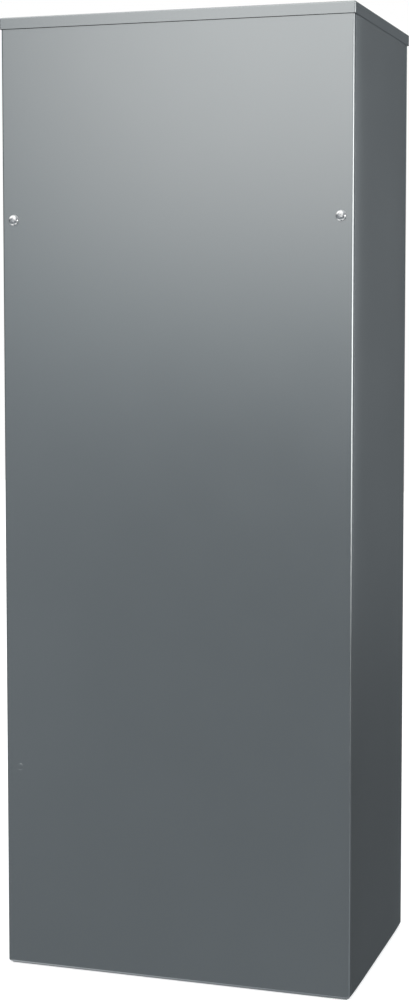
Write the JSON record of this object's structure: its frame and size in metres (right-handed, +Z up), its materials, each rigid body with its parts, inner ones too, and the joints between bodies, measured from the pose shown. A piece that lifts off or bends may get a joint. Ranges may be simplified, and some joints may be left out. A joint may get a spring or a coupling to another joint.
{
  "type": "home standby generator",
  "caption": "Slim upright grey sheet-metal cabinet holding a gas engine, alternator and inverter, with a hinged lid, a pull-off front cover and rear services.",
  "frame": {"origin": "floor level, at the middle of the base pan's footprint", "axes": "+Z up, front cover towards -Y, +X to the right of a viewer facing the front cover"},
  "size_m": [0.454, 0.311, 1.2],
  "materials": {
    "cabinet_paint": "satin cool grey powder coat",
    "zinc_plate": "bright zinc-plated sheet",
    "bright_steel": "polished plated steel",
    "cast_aluminium": "as-cast, lightly blasted",
    "aluminised_steel": "matt aluminised, slightly heat-tinted",
    "brass": "machined",
    "black_rubber": "matt",
    "grey_foam": "open-cell acoustic foam",
    "black_plastic": "moulded, fine texture",
    "grey_plastic": "moulded, fine texture",
    "red_plastic": "gloss",
    "yellow_plastic": "gloss",
    "white_ceramic": "glazed",
    "copper_winding": "lacquered"
  },
  "bodies": {
    "cabinet": {"base_pan": "zinc_plate", "side_panel_left": "cabinet_paint", "side_panel_right": "cabinet_paint", "rear_panel": "cabinet_paint", "service_recess": "cabinet_paint", "front_top_rail": "zinc_plate", "engine_bay_shelf": "zinc_plate", "upper_shelf": "zinc_plate", "hinge_leaf_cabinet": "zinc_plate", "hinge_pin": "bright_steel", "cover_nut_left": "zinc_plate", "cover_nut_right": "zinc_plate", "cover_grommet_left": "black_rubber", "cover_grommet_right": "black_rubber", "isolator_front_left": "black_rubber", "isolator_front_right": "black_rubber", "isolator_rear_left": "black_rubber", "isolator_rear_right": "black_rubber", "engine_cradle": "cast_aluminium", "crankcase": "cast_aluminium", "cylinder_barrel": "cast_aluminium", "cylinder_head": "cast_aluminium", "rocker_cover": "black_plastic", "spark_plug": "white_ceramic", "stator": "copper_winding", "blower_housing": "black_plastic", "exhaust_pipe": "aluminised_steel", "muffler": "aluminised_steel", "tailpipe": "aluminised_steel", "gas_mixer": "cast_aluminium", "air_cleaner": "black_plastic", "oil_fill_tube": "bright_steel", "battery": "black_plastic", "gas_inlet_pipe": "brass", "gas_valve": "brass", "gas_regulator": "cast_aluminium", "gas_hose": "black_rubber", "cable_gland": "black_plastic", "inverter": "cast_aluminium", "electrical_plate": "zinc_plate", "main_breaker": "grey_plastic", "terminal_block": "grey_plastic", "control_panel": "grey_plastic"},
    "lid": {"lid": "cabinet_paint", "lid_seal": "black_rubber", "hinge_leaf_lid": "zinc_plate"},
    "front_cover": {"front_cover": "cabinet_paint", "cover_foam": "grey_foam", "cover_screw_left": "bright_steel", "cover_screw_right": "bright_steel"},
    "crank": {"crankshaft": "bright_steel", "rotor": "cast_aluminium", "cooling_fan": "black_plastic"},
    "throttle": {"throttle_lever": "zinc_plate"},
    "gas_valve_lever": {"gas_valve_lever": "yellow_plastic"},
    "breaker_toggle": {"breaker_toggle": "black_plastic"},
    "selector_knob": {"selector_knob": "black_plastic"},
    "reset_button": {"reset_button": "yellow_plastic"},
    "emergency_stop": {"emergency_stop": "red_plastic"},
    "dipstick": {"dipstick": "yellow_plastic"}
  },
  "joints": [
    {"name": "lid_hinge", "type": "hinge", "parent": "cabinet", "child": "lid", "pos_m": [0, 0.155, 1.1855], "axis": [-1, 0, 0], "range_deg": [0, 95]},
    {"name": "cover_pull", "type": "slide", "parent": "cabinet", "child": "front_cover", "axis": [0, -1, 0], "range_m": [0, 0.06]},
    {"name": "crank_spin", "type": "hinge", "parent": "cabinet", "child": "crank", "pos_m": [-0.075, 0, 0.15], "axis": [0, 0, 1], "continuous": true},
    {"name": "throttle_turn", "type": "hinge", "parent": "cabinet", "child": "throttle", "pos_m": [0.1035, -0.098, 0.205], "axis": [1, 0, 0], "range_deg": [0, 80]},
    {"name": "gas_valve_turn", "type": "hinge", "parent": "cabinet", "child": "gas_valve_lever", "pos_m": [-0.15, 0.0525, 0.53], "axis": [0, 0, 1], "range_deg": [0, 90]},
    {"name": "breaker_switch", "type": "hinge", "parent": "cabinet", "child": "breaker_toggle", "pos_m": [-0.114, -0.093, 0.845], "axis": [1, 0, 0], "range_deg": [0, 50]},
    {"name": "selector_turn", "type": "hinge", "parent": "cabinet", "child": "selector_knob", "pos_m": [-0.005, -0.1123, 1.055], "axis": [0, 1, 0], "range_deg": [-45, 45]},
    {"name": "reset_press", "type": "slide", "parent": "cabinet", "child": "reset_button", "axis": [0, 1, 0], "range_m": [0, 0.0025], "stiffness_N_per_m": 300},
    {"name": "emergency_press", "type": "slide", "parent": "cabinet", "child": "emergency_stop", "axis": [0, 1, 0], "range_m": [0, 0.005]},
    {"name": "dipstick_lift", "type": "slide", "parent": "cabinet", "child": "dipstick", "axis": [0, 0, 1], "range_m": [0, 0.085]}
  ]
}
